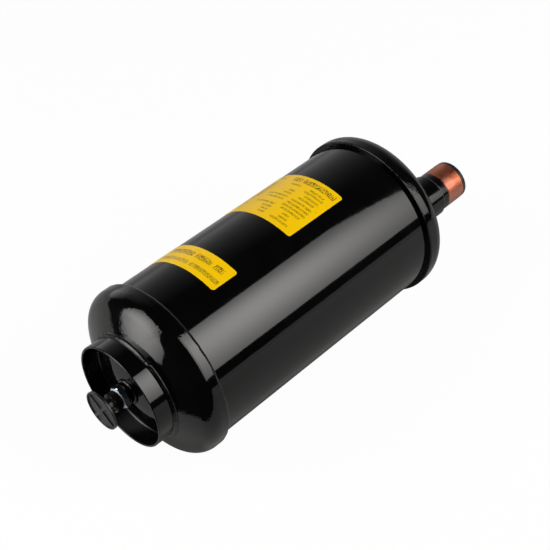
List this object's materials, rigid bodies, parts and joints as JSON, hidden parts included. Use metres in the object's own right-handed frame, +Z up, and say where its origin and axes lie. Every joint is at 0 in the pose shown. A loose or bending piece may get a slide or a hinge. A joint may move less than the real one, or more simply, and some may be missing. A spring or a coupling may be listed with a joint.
{
  "type": "refrigeration oil separator",
  "caption": "Welded cylindrical oil separator with dished ends, a foot ring, capped oil return flare, plugged copper connections and an inner float valve.",
  "frame": {"origin": "centre of the bounding box at the height of the surface the vessel lies on", "axes": "+X along the vessel axis towards the copper connections, +Z up with the vessel lying on its two end caps"},
  "size_m": [0.4048, 0.161, 0.161],
  "materials": {
    "black_paint": "gloss black paint on steel",
    "weld_paint": "gloss black paint over a rippled weld bead",
    "copper": "drawn copper, lightly tarnished, painted black near the sleeve",
    "zinc_steel": "bright zinc plating",
    "black_plastic": "satin moulded plastic",
    "yellow_label": "semi-gloss printed film",
    "bare_steel": "bare mild steel with a film of oil",
    "stainless": "polished stainless steel",
    "brass": "turned brass",
    "magnet": "dark sintered ferrite"
  },
  "bodies": {
    "vessel": {"shell": "black_paint", "bottom_end_cap": "black_paint", "top_end_cap": "black_paint", "bottom_cap_weld": "weld_paint", "top_cap_weld": "weld_paint", "foot_ring": "black_paint", "foot_ring_weld": "weld_paint", "oil_return_stub": "black_paint", "oil_return_weld": "weld_paint", "oil_return_fitting": "zinc_steel", "outlet_sleeve": "black_paint", "outlet_sleeve_weld": "weld_paint", "outlet_tube": "copper", "inlet_sleeve": "black_paint", "inlet_sleeve_weld": "weld_paint", "inlet_tube": "copper", "rating_label": "yellow_label", "notice_label": "yellow_label", "inlet_screen": "bare_steel", "outlet_screen": "bare_steel", "baffle_plate": "bare_steel", "sump_magnet": "magnet", "float_bracket": "bare_steel", "valve_body": "brass", "float_pin": "stainless", "float_pin_clip": "stainless"},
    "float": {"float_arm": "stainless", "float_ball": "stainless", "float_nut": "brass"},
    "needle": {"valve_needle": "stainless", "needle_pin": "stainless"},
    "outlet_plug": {"outlet_plug": "black_plastic"},
    "inlet_plug": {"inlet_plug": "black_plastic"},
    "oil_return_cap": {"oil_return_cap": "black_plastic"}
  },
  "joints": [
    {"name": "float_swing", "type": "hinge", "parent": "vessel", "child": "float", "pos_m": [-0.13271, 0, 0.0945], "axis": [0, -1, 0], "range_deg": [0, 22]},
    {"name": "needle_lift", "type": "slide", "parent": "vessel", "child": "needle", "axis": [1, 0, 0], "range_m": [0, 0.0056]},
    {"name": "outlet_plug_pull", "type": "slide", "parent": "vessel", "child": "outlet_plug", "axis": [1, 0, 0], "range_m": [0, 0.03]},
    {"name": "inlet_plug_pull", "type": "slide", "parent": "vessel", "child": "inlet_plug", "axis": [1, 0, 0], "range_m": [0, 0.03]},
    {"name": "oil_return_cap_pull", "type": "slide", "parent": "vessel", "child": "oil_return_cap", "axis": [-1, 0, 0], "range_m": [0, 0.03]}
  ],
  "couplings": [
    {"joint": "needle_lift", "follows": "float_swing", "m_per_rad": 0.014}
  ]
}
